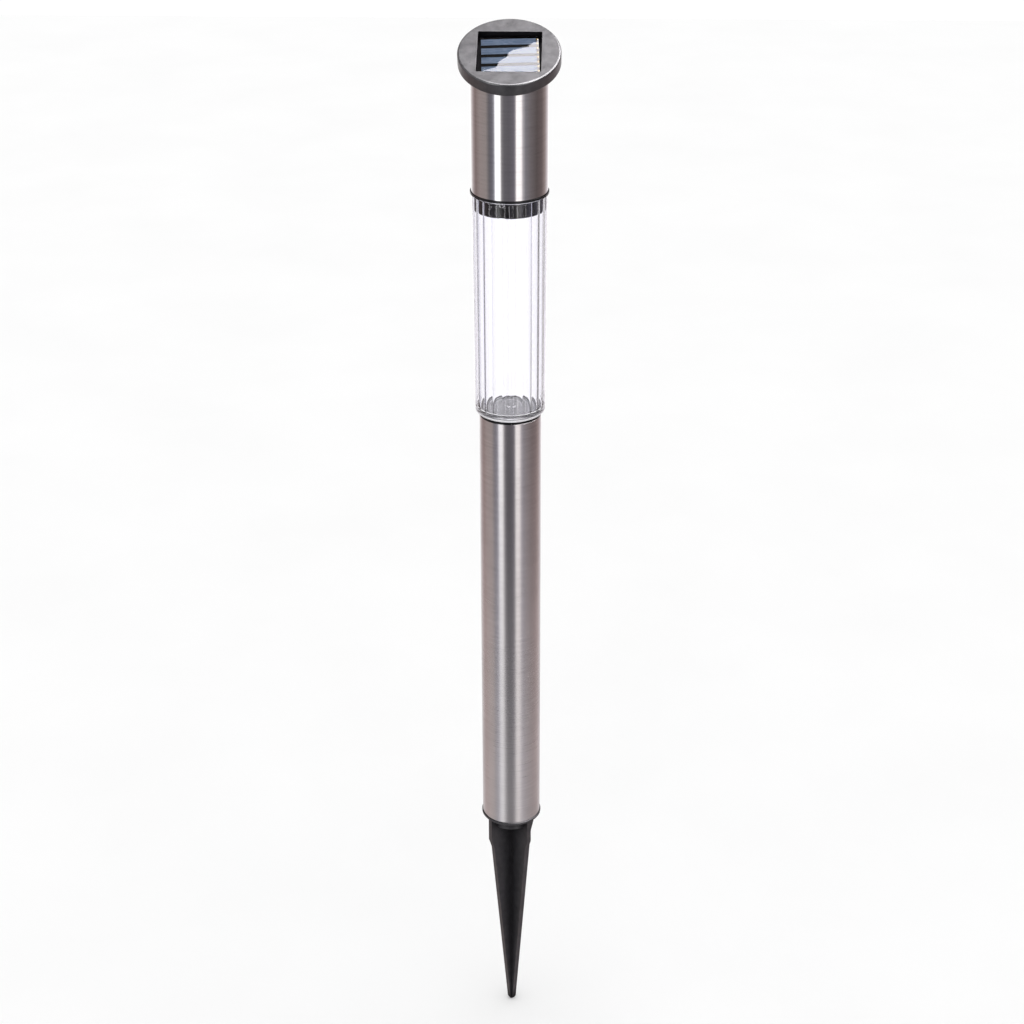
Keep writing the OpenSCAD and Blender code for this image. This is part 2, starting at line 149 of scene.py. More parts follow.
def loft_mesh(rings, closed=False):
    """Points and faces of a skin over rings of points. A ring of one point is a pole."""
    rings = held(rings, closed)
    verts, faces, starts = [], [], []
    for ring in rings:
        starts.append((len(verts), len(ring)))
        verts += ring
    pairs = list(zip(starts, starts[1:]))
    if closed:
        pairs.append((starts[-1], starts[0]))
    for (a, a_count), (b, b_count) in pairs:
        count = max(a_count, b_count)
        for i in range(count):
            j = (i + 1) % count
            if a_count == 1:
                faces.append((a, b + j, b + i))
            elif b_count == 1:
                faces.append((a + i, a + j, b))
            else:
                faces.append((a + i, a + j, b + j, b + i))
    return verts, faces


def loft(name, rings, material, closed=False, place=None, sharp=35):
    """A skin over rings of points, as an object. A closed one also joins its last ring to its first."""
    verts, faces = loft_mesh(rings, closed)
    if place:
        verts = [place @ Vector(v) for v in verts]
    return mesh_object(name, verts, faces, material, sharp)


def circle(radius, z, count=160, centre=(0.0, 0.0)):
    """A level ring of points, or its centre point where the radius is 0."""
    if radius <= 0:
        return [Vector((centre[0], centre[1], z))]
    return [
        Vector((centre[0] + radius * math.cos(a), centre[1] + radius * math.sin(a), z))
        for a in (2 * math.pi * i / count for i in range(count))
    ]


def arc(r, z, radius, start, end, steps=6):
    """Profile points (r, z) along an arc, with its angles in degrees."""
    points = []
    for i in range(steps + 1):
        a = math.radians(start + (end - start) * i / steps)
        points.append((r + radius * math.cos(a), z + radius * math.sin(a)))
    return points


def turned(name, profile, material, closed=False, count=160):
    """A turned piece. Its profile runs outwards below and inwards above."""
    rings = [circle(r, z, count) for r, z in profile]
    return loft(name, rings, material, closed)


def box_ring(half_x, half_y, radius, z, count=160):
    """A rounded rectangle as a ring, with its points spread evenly by angle."""
    points = []
    for i in range(count):
        a = 2 * math.pi * (i + 0.5) / count
        dx, dy = math.cos(a), math.sin(a)
        reach = min(half_x / max(abs(dx), 1e-9), half_y / max(abs(dy), 1e-9))
        x, y = dx * reach, dy * reach
        corner = Vector((math.copysign(half_x - radius, x), math.copysign(half_y - radius, y)))
        if abs(x) > half_x - radius and abs(y) > half_y - radius:
            out = Vector((x, y)) - corner
            x, y = corner + out.normalized() * radius
        points.append(Vector((x, y, z)))
    return points


def sweep(name, path, radius, material, count=12):
    """A round wire along a path of points."""
    rings = []
    for i, point in enumerate(path):
        ahead = path[min(i + 1, len(path) - 1)] - path[max(i - 1, 0)]
        turn = ahead.to_track_quat("Z", "Y")
        rings.append([point + turn @ p for p in circle(radius, 0.0, count)])
    start = [path[0] - (path[1] - path[0]).normalized() * radius * 0.2]
    end = [path[-1] + (path[-1] - path[-2]).normalized() * radius * 0.2]
    return loft(name, [start] + rings + [end], material)


def soften(node, width):
    """Rounds the edges of a CAD node's object with a modifier."""
    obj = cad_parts[node]
    weld = obj.modifiers.new("weld", "WELD")
    weld.merge_threshold = 0.002 * MM
    bevel = obj.modifiers.new("round_edges", "BEVEL")
    bevel.width = width
    bevel.segments = 3
    bevel.limit_method = "ANGLE"
    bevel.angle_limit = math.radians(30)
    bevel.use_clamp_overlap = True
    normals = obj.modifiers.new("flat_faces", "WEIGHTED_NORMAL")
    normals.keep_sharp = True
    bpy.context.view_layer.update()
    obj.data.shade_smooth()


def dress(node, material):
    """Gives a CAD node's object one material."""
    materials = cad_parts[node].data.materials
    materials.clear()
    materials.append(material)


def combined(piece, tool, operation):
    """Joins the tool to a piece's own mesh, or cuts it out, and removes the tool."""
    step = piece.modifiers.new("combined", "BOOLEAN")
    step.object, step.operation, step.solver = tool, operation, "EXACT"
    graph = bpy.context.evaluated_depsgraph_get()
    mesh = bpy.data.meshes.new_from_object(piece.evaluated_get(graph))
    mesh.shade_smooth()
    mesh.set_sharp_from_angle(angle=math.radians(30))
    piece.modifiers.remove(step)
    piece.data = mesh
    bpy.data.objects.remove(tool)


def seat(piece, body, slot, *nodes):
    """Puts a piece on its body, in place of the CAD nodes it stands for. Its slot, the name of its finish,
    is not used.
    """
    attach(piece, body)
    if nodes:
        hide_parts(*nodes)


# ------------------------------------------------------------ material helpers

def add(tree, kind, inputs=None, **settings):
    """A new node. An input is a value, or another node's socket to link to."""
    node = tree.nodes.new(kind)
    for key, value in settings.items():
        setattr(node, key, value)
    for key, value in (inputs or {}).items():
        socket = node.inputs[key]
        if isinstance(value, bpy.types.NodeSocket):
            tree.links.new(value, socket)
        else:
            socket.default_value = value
    return node


def maths(tree, operation, *values):
    """The result of one sum on values or sockets."""
    return add(tree, "ShaderNodeMath", dict(enumerate(values)), operation=operation).outputs[0]


def new_material(name):
    """An empty node material: itself, its node tree and its shader."""
    material = bpy.data.materials.new(name)
    material.use_nodes = True
    tree = material.node_tree
    tree.nodes.clear()
    shader = add(tree, "ShaderNodeBsdfPrincipled")
    add(tree, "ShaderNodeOutputMaterial", {"Surface": shader.outputs[0]})
    return material, tree, shader


def drive(tree, shader, **inputs):
    """Sets or links the shader's inputs, named with _ for a space."""
    for key, value in inputs.items():
        socket = shader.inputs[key.replace("_", " ")]
        if isinstance(value, bpy.types.NodeSocket):
            tree.links.new(value, socket)
        else:
            socket.default_value = value


def place_of(tree, scale=(1.0, 1.0, 1.0)):
    """Object coordinates, in metres, stretched by scale."""
    coords = add(tree, "ShaderNodeTexCoord")
    mapping = add(tree, "ShaderNodeMapping", {"Vector": coords.outputs["Object"], "Scale": scale})
    return mapping.outputs[0]


def grain(tree, scale, detail=3.0, roughness=0.55, stretch=(1.0, 1.0, 1.0)):
    """Noise from 0 to 1. The scale is in cells a metre."""
    return add(
        tree, "ShaderNodeTexNoise",
        {"Vector": place_of(tree, stretch), "Scale": scale, "Detail": detail, "Roughness": roughness},
    ).outputs["Fac"]


def spread(tree, value, low_in, high_in, low_out, high_out):
    """Maps a value from one range to another, and holds it at the ends."""
    return add(
        tree, "ShaderNodeMapRange",
        {"Value": value, "From Min": low_in, "From Max": high_in, "To Min": low_out, "To Max": high_out},
    ).outputs["Result"]


def mixed_colour(tree, fac, a, b):
    """Colour a where fac is 0, and b where it is 1."""
    mix = add(tree, "ShaderNodeMix", data_type="RGBA")
    for socket, value in ((mix.inputs[0], fac), (mix.inputs[6], a), (mix.inputs[7], b)):
        if isinstance(value, bpy.types.NodeSocket):
            tree.links.new(value, socket)
        else:
            socket.default_value = value
    return mix.outputs[2]


def bump(tree, height, distance, strength):
    """A surface normal tilted by a height from 0 to 1, over a distance in metres."""
    return add(
        tree, "ShaderNodeBump", {"Height": height, "Distance": distance, "Strength": strength}
    ).outputs[0]


def edge_mask(tree, radius):
    """1 on convex and concave edges, 0 on open faces."""
    rounded = add(tree, "ShaderNodeBevel", {"Radius": radius}, samples=4)
    plain = add(tree, "ShaderNodeNewGeometry")
    same = add(
        tree, "ShaderNodeVectorMath", {0: rounded.outputs[0], 1: plain.outputs["Normal"]},
        operation="DOT_PRODUCT",
    ).outputs["Value"]
    return spread(tree, same, 0.98, 0.8, 0.0, 1.0)


def rgb(r, g, b):
    """A colour with its alpha."""
    return (r, g, b, 1.0)


# ------------------------------------------------------------------- materials

def brushed_steel(name, colour, roughness, smudge=0.5, foot=None):
    """Stainless tube, brushed round its axis. Below the foot heights it is scuffed and duller."""
    material, tree, shader = new_material(name)
    fine = grain(tree, 1.0, 2.0, 0.6, (50.0, 50.0, 6000.0))
    coarse = grain(tree, 1.0, 3.0, 0.65, (55.0, 55.0, 900.0))
    cloud = grain(tree, 1.0, 4.0, 0.6, (45.0, 45.0, 28.0))
    lines = maths(tree, "MULTIPLY_ADD", fine, 0.5, maths(tree, "MULTIPLY", coarse, 0.5))
    shade = spread(tree, lines, 0.3, 0.7, 0.86, 1.12)
    dull = spread(tree, cloud, 0.35, 0.75, 1.0, 1.0 - 0.12 * smudge)
    base = mixed_colour(tree, maths(tree, "MULTIPLY", shade, dull), rgb(0, 0, 0), rgb(*colour))
    rough = maths(
        tree, "ADD", spread(tree, lines, 0.2, 0.8, roughness * 0.8, roughness * 1.25),
        spread(tree, cloud, 0.45, 0.8, 0.0, 0.05 * smudge),
    )
    metallic = 1.0
    if foot:
        height = add(tree, "ShaderNodeSeparateXYZ", {0: place_of(tree)}).outputs[2]
        scuffed = spread(tree, height, foot[0], foot[1], 1.0, 0.0)
        rough = maths(tree, "MULTIPLY_ADD", scuffed, 0.10, rough)
        metallic = maths(tree, "MULTIPLY_ADD", scuffed, -0.2, 1.0)
    tangent = add(tree, "ShaderNodeTangent", direction_type="RADIAL", axis="Z")
    drive(
        tree, shader, Base_Color=base, Metallic=metallic, Roughness=rough, Anisotropic=0.6,
        Anisotropic_Rotation=0.25, Tangent=tangent.outputs[0],
        Normal=bump(tree, lines, 0.006 * MM, 0.4),
    )
    return material


def black_plastic(name, colour, roughness, texture=0.02, gloss=0.5):
    """Moulded black plastic: fine pits, flow marks, paler smoother edges that are partly edge wear and
    partly a painted highlight, and painted shade in recesses, where the colour is darker and the reflection
    weaker.
    """
    pale_edge_strength = 0.35
    material, tree, shader = new_material(name)
    pits = grain(tree, 2600.0, 3.0)
    flow = grain(tree, 240.0, 4.0, 0.6)
    cloud = grain(tree, 60.0, 3.0, 0.5)
    edge = edge_mask(tree, 0.5 * MM)
    pale_edge_patches = spread(tree, grain(tree, 900.0), 0.3, 0.7, pale_edge_strength * 0.5, pale_edge_strength * 1.5)
    open_sky = add(tree, "ShaderNodeAmbientOcclusion", {"Distance": 12 * MM}, samples=8).outputs["AO"]
    dark, light = [c * 0.8 for c in colour], [c * 1.25 for c in colour]
    body = mixed_colour(tree, spread(tree, flow, 0.3, 0.7, 0.0, 1.0), rgb(*dark), rgb(*light))
    # paler edges: partly edge wear, partly a painted highlight along the edges
    rubbed_and_highlit_edge = [c * 3 + 0.03 for c in colour]
    worn_and_highlit = mixed_colour(tree, maths(tree, "MULTIPLY", edge, pale_edge_patches), body, rgb(*rubbed_and_highlit_edge))
    # painted shade: the colour fades towards black where ambient occlusion finds the surface enclosed
    base = mixed_colour(tree, spread(tree, open_sky, 0.3, 0.95, 0.3, 1.0), rgb(0, 0, 0), worn_and_highlit)
    rough = maths(tree, "ADD", spread(tree, pits, 0.3, 0.7, -0.04, 0.04), roughness)
    rough = maths(tree, "ADD", spread(tree, flow, 0.3, 0.7, -0.035, 0.035), rough)
    rough = maths(tree, "ADD", spread(tree, cloud, 0.3, 0.7, -0.025, 0.025), rough)
    rough = maths(tree, "MULTIPLY", spread(tree, edge, 0.0, 1.0, 1.0, 0.75), rough)
    # painted shade: reflection drops where the surface is enclosed; the patchy mottle below is the finish
    sheen_shaded_in_recesses = spread(tree, open_sky, 0.66, 0.94, 0.02, gloss)
    patchy = spread(tree, grain(tree, 150.0, 5.0, 0.65), 0.35, 0.65, 0.72, 1.3)
    sheen_shaded_in_recesses = maths(tree, "MULTIPLY", sheen_shaded_in_recesses, patchy)
    drive(
        tree, shader, Base_Color=base, Roughness=rough, Normal=bump(tree, pits, texture * MM, 0.5),
        Specular_IOR_Level=sheen_shaded_in_recesses,
    )
    return material


def frosted_seat(tree, seat_z):
    """How cloudy the lens is: its underside is frosted, most of all where it sits on the coupling."""
    xyz = add(tree, "ShaderNodeSeparateXYZ", {0: place_of(tree)}).outputs
    y_squared = maths(tree, "MULTIPLY", xyz[1], xyz[1])
    radius = maths(tree, "SQRT", maths(tree, "MULTIPLY_ADD", xyz[0], xyz[0], y_squared))
    share = spread(tree, radius, SOCKET_R - 5 * MM, SOCKET_R - 2.5 * MM, 0.35, 0.95)
    under = spread(tree, xyz[2], seat_z + 0.05 * MM, seat_z + 0.4 * MM, 1.0, 0.0)
    mottle = spread(tree, grain(tree, 300.0), 0.3, 0.7, 0.9, 1.1)
    return maths(tree, "MULTIPLY", maths(tree, "MULTIPLY", share, under), mottle)


def clear_plastic(name, colour, ior=1.49, haze=0.01, seat_z=None):
    """Polished clear moulding with hairline scratches, and a frosted seat if it has one."""
    material, tree, shader = new_material(name)
    scratch = grain(tree, 1.0, 2.0, 0.5, (900.0, 900.0, 60.0))
    rough = spread(tree, scratch, 0.45, 0.75, haze * 0.5, haze * 2.5)
    clear = maths(tree, "SUBTRACT", 1.0, frosted_seat(tree, seat_z)) if seat_z else 1.0
    drive(
        tree, shader, Base_Color=rgb(*colour), Roughness=rough, IOR=ior, Transmission_Weight=clear,
        Normal=bump(tree, scratch, 0.0003 * MM, 0.1),
    )
    return material


def silicon(name):
    """Blue cell under resin: long crystal grains, no gloss of its own."""
    material, tree, shader = new_material(name)
    flakes = add(
        tree, "ShaderNodeTexVoronoi",
        {"Vector": place_of(tree, (1.0, 3.0, 3.0)), "Scale": 420.0, "Randomness": 1.0},
    ).outputs["Color"]
    tone = add(tree, "ShaderNodeSeparateColor", {0: flakes}).outputs[0]
    streak = grain(tree, 1.0, 3.0, 0.6, (120.0, 900.0, 900.0))
    fac = maths(tree, "MULTIPLY_ADD", streak, 0.6, maths(tree, "MULTIPLY", tone, 0.4))
    deep, pale = rgb(0.20, 0.28, 0.42), rgb(0.36, 0.45, 0.60)
    body = mixed_colour(tree, spread(tree, fac, 0.2, 0.8, 0.0, 1.0), deep, pale)
    drive(tree, shader, Base_Color=body, Roughness=0.5, Specular_IOR_Level=0.02)
    return material


def plain_metal(name, colour, roughness):
    """Small metal part with a drawn or plated grain."""
    material, tree, shader = new_material(name)
    texture = grain(tree, 3000.0, 3.0)
    stain = grain(tree, 260.0, 4.0)
    stained = [c * 0.8 for c in colour]
    base = mixed_colour(tree, spread(tree, stain, 0.3, 0.7, 0.0, 1.0), rgb(*stained), rgb(*colour))
    drive(
        tree, shader, Base_Color=base, Metallic=1.0,
        Roughness=spread(tree, texture, 0.3, 0.7, roughness * 0.75, roughness * 1.3),
        Normal=bump(tree, texture, 0.01 * MM, 0.4),
    )
    return material


def coloured_plastic(name, colour, roughness, scale=1800.0, gloss=0.5):
    """Small coloured part: insulation, sleeve or coating."""
    material, tree, shader = new_material(name)
    texture = grain(tree, scale, 3.0)
    cloud = grain(tree, 180.0, 3.0)
    shaded = [c * 0.75 for c in colour]
    base = mixed_colour(tree, spread(tree, cloud, 0.3, 0.7, 0.0, 1.0), rgb(*shaded), rgb(*colour))
    rough = spread(tree, texture, 0.3, 0.7, roughness * 0.8, roughness * 1.2)
    drive(
        tree, shader, Base_Color=base, Roughness=rough, Normal=bump(tree, texture, 0.015 * MM, 0.4),
        Specular_IOR_Level=gloss,
    )
    return material


def milky_silicone(name):
    """Soft translucent white ring."""
    material, tree, shader = new_material(name)
    dust = grain(tree, 900.0, 3.0)
    tone = mixed_colour(tree, dust, rgb(0.90, 0.90, 0.95), rgb(0.97, 0.97, 1.0))
    drive(
        tree, shader, Base_Color=tone, Roughness=spread(tree, dust, 0.3, 0.7, 0.4, 0.5),
        Normal=bump(tree, dust, 0.01 * MM, 0.4),
    )
    return material


def solder_mask(name):
    """Green board with copper tracks under the mask."""
    material, tree, shader = new_material(name)
    black, white = rgb(0, 0, 0), rgb(1, 1, 1)
    grid = {"Vector": place_of(tree), "Scale": 420.0, "Mortar Size": 0.03, "Mortar Smooth": 0.1}
    tracks = add(
        tree, "ShaderNodeTexBrick", {**grid, "Color1": black, "Color2": black, "Mortar": white}
    ).outputs["Color"]
    line = add(tree, "ShaderNodeSeparateColor", {0: tracks}).outputs[0]
    deep, pale = rgb(0.008, 0.09, 0.03), rgb(0.012, 0.13, 0.045)
    body = mixed_colour(tree, spread(tree, grain(tree, 300.0), 0.3, 0.7, 0, 1), deep, pale)
    base = mixed_colour(tree, line, body, rgb(0.05, 0.26, 0.07))
    drive(tree, shader, Base_Color=base, Roughness=0.3, Normal=bump(tree, line, 0.03 * MM, 0.6))
    return material


# ---------------------------------------------------------------------- pieces

def tube_foot(inner, outer, bottom):
    """Profile of a tube's rounded lower lip, from the bore to the outside."""
    profile = arc(inner + TUBE_LIP, bottom + TUBE_LIP, TUBE_LIP, 180, 270, 3)
    return profile + arc(outer - TUBE_LIP, bottom + TUBE_LIP, TUBE_LIP, 270, 360, 3)


def build_pole(steel):
    """The pole: a tube with rounded lips."""
    top = high("pole_tube").z
    outer = high("pole_tube").x
    inner = outer - TUBE_WALL
    profile = tube_foot(inner, outer, low("pole_tube").z)
    profile += arc(outer - TUBE_LIP, top - TUBE_LIP, TUBE_LIP, 0, 90, 3)
    profile += arc(inner + TUBE_LIP, top - TUBE_LIP, TUBE_LIP, 90, 180, 3)
    pole = turned("pole_shell", profile, steel, closed=True, count=256)
    seat(pole, "pole", "pole_steel", "pole_tube")


def cap_frame():
    """The cap's own frame: the centre of its top face, with Z out of that face."""
    rim_centre = high("solar_cap").x - CAP_ROUND
    rise = rim_centre * math.sin(CAP_TILT) - CAP_ROUND * math.cos(CAP_TILT) + CAP_ROUND
    centre_z = high("solar_cap").z - rise
    return Matrix.Translation((0, 0, centre_z)) @ Matrix.Rotation(CAP_TILT, 4, "X")


def build_head_tube(steel, cap):
    """The head's tube, cut at the cap's slope."""
    outer = high("head_tube").x
    inner = outer - TUBE_WALL
    under_cap = 0.02 * MM
    plane_point = cap @ Vector((0, 0, -CAP_T))

    def cut_ring(radius, drop):
        ring = circle(radius, 0.0, 256)
        for p in ring:
            p.z = plane_point.z + (p.y - plane_point.y) * math.tan(CAP_TILT) - drop
        return ring

    rings = [circle(r, z, 256) for r, z in tube_foot(inner, outer, low("head_tube").z)]
    rings += [cut_ring(outer, TUBE_LIP), cut_ring(outer - TUBE_LIP, under_cap)]
    rings += [cut_ring(inner + TUBE_LIP, under_cap), cut_ring(inner, TUBE_LIP)]
    tube = loft("head_shell", rings, steel, closed=True)
    seat(tube, "head", "head_steel", "head_tube")


def build_cap(plastic, rim_highlight, cap):
    """The cap's disc with its window, holes for the panel's wires, and an upper rim in a smoother, paler
    black that paints a highlight line on it.
    """
    half_x, half_y = WINDOW / 2
    corner = 0.6 * MM
    depth = local_box("panel_backing", cap)[0].z
    radius = high("solar_cap").x - 0.01 * MM
    ease = 0.12 * MM
    brow, foot = 1.1 * MM, 0.9 * MM
    count = 320
    rings = [[Vector((0, 0, depth))]]
    rings.append(box_ring(half_x, half_y, corner, depth, count))
    for out, rounder, down in ((0, 0, ease), (0.3 * ease, 0.05 * MM, 0.3 * ease), (ease, 0.1 * MM, 0)):
        rings.append(box_ring(half_x + out, half_y + out, corner + rounder, -down, count))
    rings += [circle(r, z, count) for r, z in arc(radius - brow, -brow, brow, 90, 0, 8)]
    rings += [circle(r, z, count) for r, z in arc(radius - foot, -CAP_T + foot, foot, 0, -90, 5)]
    rings.append([Vector((0, 0, -CAP_T))])
    rings = [shifted(r) for r in rings]
    rings.reverse()
    disc = loft("cap_disc", rings, plastic, place=cap, sharp=40)
    for node in ("panel_wire_red", "panel_wire_black"):
        combined(disc, wire_hole(node, plastic), "DIFFERENCE")
    highlight_rim(disc, rim_highlight, cap, radius, brow)
    seat(disc, "head", "cap_black", "solar_cap")
    build_cap_skirt(plastic, cap)


def highlight_rim(disc, rim_highlight, cap, radius, brow):
    """Gives the upper part of the disc's rounded brow its own material: smoother, and paler to paint a
    highlight line along the rim.
    """
    disc.data.materials.append(rim_highlight)
    inverse = cap.inverted()
    for face in disc.data.polygons:
        centre = inverse @ face.center
        if centre.z > -0.7 * brow and centre.xy.length > radius - 0.95 * brow:
            face.material_index = 1


def wire_hole(node, material):
    """An upright cutter round a wire, from well under the cap to well inside its window."""
    bottom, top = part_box(node)
    centre = (bottom + top) / 2
    under, over = -12 * MM, 4 * MM
    profile = [(0, under), (WIRE_HOLE_R, under), (WIRE_HOLE_R, over), (0, over)]
    rings = [circle(r, top.z + z, 32, (centre.x, centre.y)) for r, z in profile]
    return loft("wire_hole", rings, material)


def shifted(ring):
    """Turns a ring's points so that circles and windows start at the same angle."""
    if len(ring) == 1:
        return ring
    start = min(range(len(ring)), key=lambda i: abs(math.atan2(ring[i].y, ring[i].x)) + (ring[i].y < 0))
    return ring[start:] + ring[:start]


def build_cap_skirt(plastic, cap):
    """The ring under the cap that fits inside the head's tube."""
    outer = high("head_tube").x - TUBE_WALL - PRESS_GAP
    inner = outer - SKIRT_WALL
    face_z = cap.translation.z

    def slanted(radius, depth):
        ring = circle(radius, 0.0, 160)
        for p in ring:
            p.z = face_z - depth / math.cos(CAP_TILT) + p.y * math.tan(CAP_TILT)
        return ring

    top, bottom = CAP_T - 0.3 * MM, CAP_T + SKIRT_H
    rings = [slanted(inner, bottom), slanted(outer, bottom), slanted(outer, top), slanted(inner, top)]
    seat(loft("cap_skirt", rings, plastic, closed=True), "head", "cap_black")


def panel_frame(cap):
    """The panel's own frame: the cap's, moved aside and turned askew."""
    return cap @ Matrix.Translation((PANEL_X, 0, 0)) @ Matrix.Rotation(PANEL_TURN, 4, "Z")


def resin_drop(u, v, half_x, half_y):
    """How far the resin is below its highest level, at a place from -1 to 1 across and up the panel."""
    crown, edge_drop = 0.32 * MM, 0.05 * MM
    ripple = 0.002 * MM
    swell, swell_length, swell_start = 0.015 * MM, 23 * MM, 0.17 * half_x
    sag = crown * (u * u + v * v) / 2 + edge_drop * (max(abs(u), abs(v)) ** 120)
    wave = ripple * math.cos(2 * math.pi * v * half_y / STRIP_PITCH)
    wave += swell * math.sin(2 * math.pi * (u * half_x - swell_start) / swell_length)
    return ripple + swell + sag + wave


def build_resin(clear, panel):
    """Poured resin round the cells: crowned, with a slow swell and a slight ripple over each strip."""
    low_corner, high_corner = local_box("panel_resin", panel)
    half_x, half_y = high_corner.x, high_corner.y
    top, bottom = high_corner.z, low_corner.z - STRIP_T - 0.05 * MM
    steps = 72
    verts, faces = [], []
    for j in range(steps + 1):
        for i in range(steps + 1):
            u, v = 2 * i / steps - 1, 2 * j / steps - 1
            verts.append(Vector((u * half_x, v * half_y, top - resin_drop(u, v, half_x, half_y))))
    row = steps + 1
    for j in range(steps):
        for i in range(steps):
            a = j * row + i
            faces.append((a, a + 1, a + row + 1, a + row))
    rim = list(range(row)) + [j * row + steps for j in range(1, row)]
    rim += [steps * row + i for i in range(steps - 1, -1, -1)] + [j * row for j in range(steps - 1, 0, -1)]
    base = len(verts)
    verts += [Vector((verts[k].x, verts[k].y, bottom)) for k in rim]
    count = len(rim)
    for k in range(count):
        n = (k + 1) % count
        faces.append((rim[n], rim[k], base + k, base + n))
    faces.append(tuple(base + k for k in reversed(range(count))))
    resin = mesh_object("resin_slab", [panel @ v for v in verts], faces, clear, sharp=50)
    seat(resin, "head", "clear_resin", "panel_resin")


def flute_radius(angle):
    """Radius of the lens's fluted hollow in a direction about the axis."""
    half_pitch = math.pi / FLUTE_COUNT
    half_chord = FLUTE_RIDGE_R * math.sin(half_pitch)
    rise = FLUTE_RIDGE_R + FLUTE_DEPTH - FLUTE_RIDGE_R * math.cos(half_pitch)
    radius = (half_chord**2 + rise**2) / (2 * rise)
    centre = FLUTE_RIDGE_R + FLUTE_DEPTH - radius
    off = (angle - FLUTE_TURN) % (2 * half_pitch) - half_pitch
    return centre * math.cos(off) + math.sqrt(radius**2 - (centre * math.sin(off)) ** 2)


def lens_ring(radius_at, z):
    """A ring of the lens at one height, with its radius given for each direction about the axis."""
    count = FLUTE_COUNT * 24
    angles = [2 * math.pi * (i + 0.5) / count for i in range(count)]
    return [Vector((radius_at(a) * math.cos(a), radius_at(a) * math.sin(a), z)) for a in angles]


def plain_ring(r, z):
    """A round ring of the lens, or its centre point."""
    return lens_ring(lambda a: r, z) if r > 0 else [Vector((0, 0, z))]


def fluted_ring(z, share=1.0):
    """A fluted ring of the lens, drawn in towards the floor's round edge as share falls to 0."""
    return lens_ring(lambda a: LENS_FLOOR_R + (flute_radius(a) - LENS_FLOOR_R) * share, z)


def lens_outside(foot, spigot, top):
    """Profile of the lens's outside: up its spigot, round its foot, up to its rim and into the rebate."""
    top_r = high("lens").x
    round_r, rim = 3 * MM, 0.3 * MM
    inner_ease, outer_ease = 0.2 * MM, 0.3 * MM
    spigot_in = SOCKET_R - SPIGOT_WALL
    profile = [(0, foot), (spigot_in, foot), (spigot_in, spigot + inner_ease)]
    profile += [(spigot_in + inner_ease, spigot), (SOCKET_R - outer_ease, spigot)]
    profile += [(SOCKET_R, spigot + outer_ease), (SOCKET_R, foot)]
    profile += arc(LENS_FOOT_R - round_r, foot + round_r, round_r, -90, 0, 10)
    profile += arc(top_r - rim, top - rim, rim, 0, 90, 3)
    return profile + [(REBATE_R, top), (REBATE_R, top - REBATE_H)]


def lens_hollow(floor, top):
    """Rings of the lens's fluted hollow, from the rebate down past the lugs and round into the floor."""
    near_lug = 0.2 * MM
    foot_rise = 3.2 * MM
    rings = [fluted_ring(top - REBATE_H)]
    rings += [fluted_ring(top - LUG_DROP + z) for z in (LUG_SIZE.z + near_lug, -near_lug)]
    steps = 8
    for i in range(steps + 1):
        a = math.pi / 2 * i / steps
        rings.append(fluted_ring(floor + foot_rise * (1 - math.sin(a)), math.cos(a)))
    return rings


def lens_gate(floor):
    """Rings of the low round boss that the moulding gate leaves in the middle of the floor."""
    gate_r, gate_h, ease = 2.2 * MM, 1.0 * MM, 0.4 * MM
    gate = [(gate_r, floor)] + arc(gate_r - ease, floor + gate_h - ease, ease, 0, 90, 4)
    return [plain_ring(r, z) for r, z in gate + [(0, floor + gate_h)]]


def build_lens(clear):
    """The lens as one closed skin, from under its floor, round its foot and rim, and down its flutes."""
    foot, spigot, top = high("pole_coupling").z, low("lens").z, high("lens").z
    floor = foot + LENS_FLOOR_T
    rings = [plain_ring(r, z) for r, z in lens_outside(foot, spigot, top)]
    rings += lens_hollow(floor, top) + lens_gate(floor)
    lens = loft("lens_body_shell", rings, clear, sharp=28)
    for index in range(LUG_COUNT):
        combined(lens, bayonet_lug(index, top, clear), "UNION")
    seat(lens, "lens_body", "clear_lens", "lens")


def bayonet_lug(index, lens_top, material):
    """One of the lugs inside the lens's top that hold the lamp head, with rounded edges."""
    low_z, high_z = lens_top - LUG_DROP, lens_top - LUG_DROP + LUG_SIZE.z
    inner, outer = LUG_R, LUG_R + LUG_SIZE.x
    half, ease = LUG_SIZE.y / 2, 0.25 * MM
    turn = Matrix.Rotation(LUG_TURN + 2 * math.pi * index / LUG_COUNT, 4, "Z")

    def ring(z, inset):
        centre = Matrix.Translation(((inner + outer) / 2, 0, z))
        return [centre @ p for p in box_ring((outer - inner) / 2 - inset, half - inset, 2 * ease, 0, 48)]

    middle = (inner + outer) / 2
    rings = [[Vector((middle, 0, low_z))], ring(low_z, ease), ring(low_z + ease, 0)]
    rings += [ring(high_z - ease, 0), ring(high_z, ease), [Vector((middle, 0, high_z))]]
    return loft("bayonet_lug", rings, material, place=turn)


def build_coupling(plastic):
    """The plug in the pole's top: its rim, and the socket that takes the lens's spigot."""
    low_z, top = low("pole_coupling").z, high("pole_coupling").z
    outer = high("pole_coupling").x
    rim_z = high("pole_tube").z
    plug = outer - TUBE_WALL - PRESS_GAP
    socket, floor_t = 16.0 * MM, 1.8 * MM
    ease, lead = 0.35 * MM, 0.8 * MM
    profile = [(0, low_z), (plug - lead, low_z), (plug, low_z + lead), (plug, rim_z)]
    profile += arc(outer - ease, rim_z + ease, ease, -90, 0, 4)
    profile += arc(outer - ease, top - ease, ease, 0, 90, 4)
    profile += [(socket + ease, top), (socket, top - ease), (socket, low_z + floor_t), (0, low_z + floor_t)]
    piece = turned("coupling_plug", profile, plastic, count=192)
    seat(piece, "pole", "black_rim", "pole_coupling")


